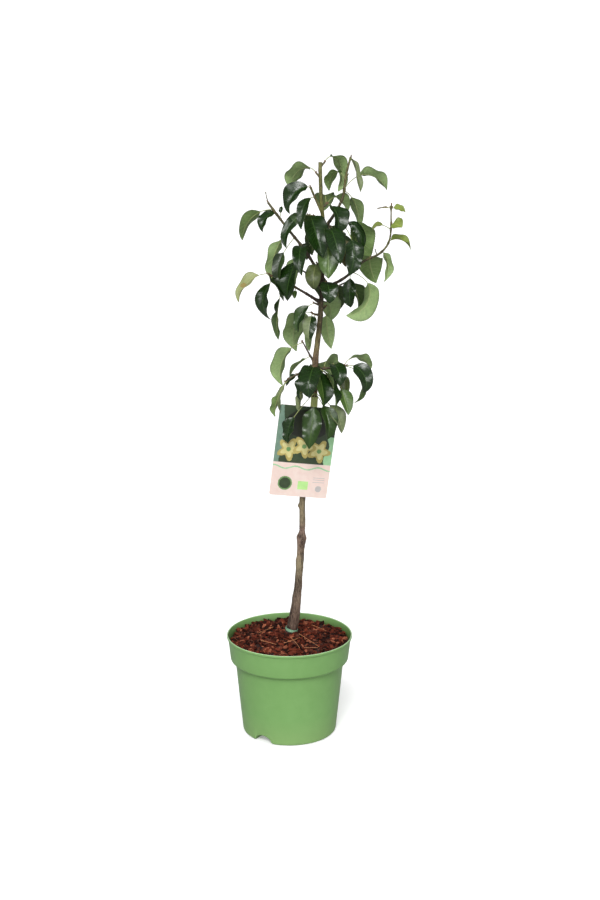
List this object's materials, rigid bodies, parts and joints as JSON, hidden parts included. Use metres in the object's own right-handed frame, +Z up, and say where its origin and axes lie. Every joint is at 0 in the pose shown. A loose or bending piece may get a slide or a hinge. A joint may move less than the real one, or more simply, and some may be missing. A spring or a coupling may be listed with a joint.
{
  "type": "potted pear tree",
  "caption": "Young pear tree with a slim trunk, an open crown of drooping pointed leaves and a hanging label, in a round collared nursery pot filled with soil and bark.",
  "frame": {"origin": "centre of the pot's flat underside", "axes": "+Z up along the pot's axis, -Y towards the front that shows the label's face, +X to the right seen from that front"},
  "size_m": [0.3176, 0.2252, 1.0082],
  "materials": {
    "green_plastic": "satin pale green moulded plastic",
    "bark_mulch": "loose dark red-brown bark chips on soil",
    "pear_bark": "smooth young bark, grey-brown below and olive-brown above",
    "pear_leaf": "glossy dark green above, matt pale green below",
    "mint_tape": "matt mint green tape",
    "printed_card": "glossy printed plastic card",
    "yellow_green_loop": "thin yellow-green plastic strap"
  },
  "bodies": {
    "root": {"pot": "green_plastic", "soil_and_bark": "bark_mulch", "trunk": "pear_bark", "graft_tape": "mint_tape", "label_loop": "yellow_green_loop", "label_card": "printed_card", "bough_right_leader": "pear_bark", "bough_right_short": "pear_bark", "bough_left_long": "pear_bark", "bough_left_lower": "pear_bark", "bough_right_long": "pear_bark", "bough_lower_left": "pear_bark", "bough_lower_right": "pear_bark", "bough_back_high": "pear_bark", "bough_back_left": "pear_bark", "bough_back_right": "pear_bark", "bough_back_low": "pear_bark", "leaves_right_leader": "pear_leaf", "leaves_right_short": "pear_leaf", "leaves_left_long": "pear_leaf", "leaves_left_lower": "pear_leaf", "leaves_right_long": "pear_leaf", "leaves_lower_left": "pear_leaf", "leaves_lower_right": "pear_leaf", "leaves_twig_left": "pear_leaf", "leaves_twig_low": "pear_leaf", "leaves_tip_right": "pear_leaf", "leaves_tip_left": "pear_leaf", "leaves_front_left": "pear_leaf", "leaves_mid_right": "pear_leaf", "leaves_front_right": "pear_leaf", "leaves_mid_left": "pear_leaf", "leaves_knot_left": "pear_leaf", "leaves_spur_left": "pear_leaf", "leaves_knot_right": "pear_leaf", "leaves_spur_right": "pear_leaf", "leaves_back_high": "pear_leaf", "leaves_back_left": "pear_leaf", "leaves_back_right": "pear_leaf", "leaves_back_low": "pear_leaf", "leaves_low_front": "pear_leaf", "leaves_label_front": "pear_leaf"}
  },
  "joints": []
}
